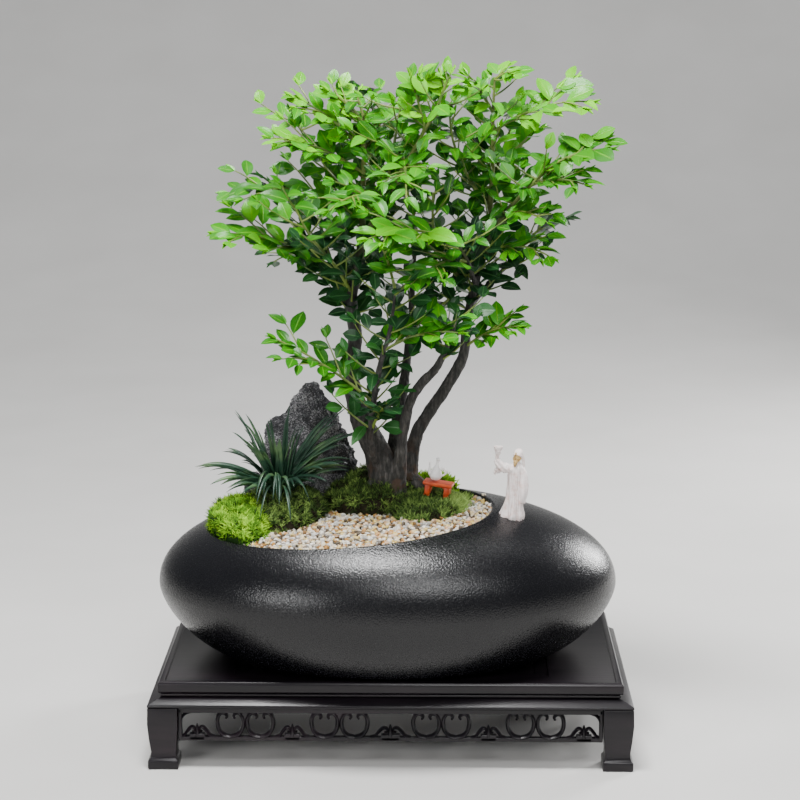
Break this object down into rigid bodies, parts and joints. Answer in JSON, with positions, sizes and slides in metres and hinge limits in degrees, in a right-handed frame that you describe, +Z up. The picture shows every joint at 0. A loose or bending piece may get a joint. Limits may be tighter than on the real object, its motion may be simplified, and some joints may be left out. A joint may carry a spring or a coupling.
{
  "type": "potted bonsai tree",
  "caption": "Red sandalwood bonsai in a black pebble-shaped pot on a carved wooden stand, planted with moss, gravel, grass and a rock, with a small robed figurine, table and jug.",
  "frame": {"origin": "on the floor under the middle of the stand", "axes": "+Z up, +X along the stand's length to the right seen from the front, -Y towards the front"},
  "size_m": [0.368, 0.236, 0.5336],
  "materials": {
    "stand_wood": "dark purple-black lacquered hardwood, satin, faint grain",
    "pot_glaze": "black satin glaze with a fine leathery speckle",
    "soil": "dark matte potting soil",
    "gravel": "white, cream and tan gravel grains, matte",
    "moss_bright": "bright yellow-green cushion moss, matte",
    "moss_dark": "dark green moss with brown patches, matte",
    "rock": "dark grey rugged rock, matte",
    "grass": "dark blue-green grass blades, slightly glossy",
    "bark": "grey-brown rough bark",
    "leaf_bright": "glossy bright green leaves on yellow-green stems",
    "leaf_mid": "glossy mid-green leaves on green stems",
    "leaf_dark": "glossy dark green leaves on green stems",
    "resin": "pinkish-white painted resin with tan-gold face and beard",
    "table_red": "orange-red painted resin",
    "porcelain": "white glazed"
  },
  "bodies": {
    "root": {"stand_board": "stand_wood", "stand_moulding": "stand_wood", "stand_leg_front_left": "stand_wood", "stand_leg_front_right": "stand_wood", "stand_leg_back_left": "stand_wood", "stand_leg_back_right": "stand_wood", "stand_apron_front": "stand_wood", "stand_apron_back": "stand_wood", "stand_apron_right": "stand_wood", "stand_apron_left": "stand_wood", "pot": "pot_glaze", "soil": "soil", "moss_left": "moss_bright", "moss_middle": "moss_dark", "moss_back": "moss_dark", "moss_right": "moss_dark", "moss_small": "moss_bright", "gravel": "gravel", "rock": "rock", "small_stone": "rock", "mondo_grass": "grass", "low_table": "table_red", "jug": "porcelain", "figurine": "resin", "tree_wood": "bark", "spray_left_top": "leaf_bright", "spray_left_upper": "leaf_bright", "spray_left_middle": "leaf_mid", "spray_left_lower": "leaf_bright", "spray_left_back": "leaf_dark", "spray_left_back_low": "leaf_dark", "spray_crown_left": "leaf_bright", "spray_crown_top": "leaf_bright", "spray_crown_middle": "leaf_bright", "spray_crown_inner": "leaf_bright", "spray_leader_tip": "leaf_bright", "spray_leader_left": "leaf_bright", "spray_right_top": "leaf_bright", "spray_right_upper": "leaf_mid", "spray_right_outer": "leaf_mid", "spray_right_shoulder": "leaf_mid", "spray_right_middle": "leaf_bright", "spray_right_back": "leaf_dark", "spray_right_lower": "leaf_bright", "spray_low_front": "leaf_bright", "spray_low_left": "leaf_mid", "spray_front_left": "leaf_bright", "spray_front_middle": "leaf_mid", "spray_shoot_tip": "leaf_mid", "spray_shoot_low": "leaf_dark", "spray_centre_front": "leaf_mid", "spray_centre_left": "leaf_mid", "spray_back_top": "leaf_dark", "spray_back_middle": "leaf_dark", "spray_back_low": "leaf_dark", "spray_back_crown": "leaf_dark", "spray_back_upper": "leaf_dark", "spray_back_inner": "leaf_dark"}
  },
  "joints": []
}
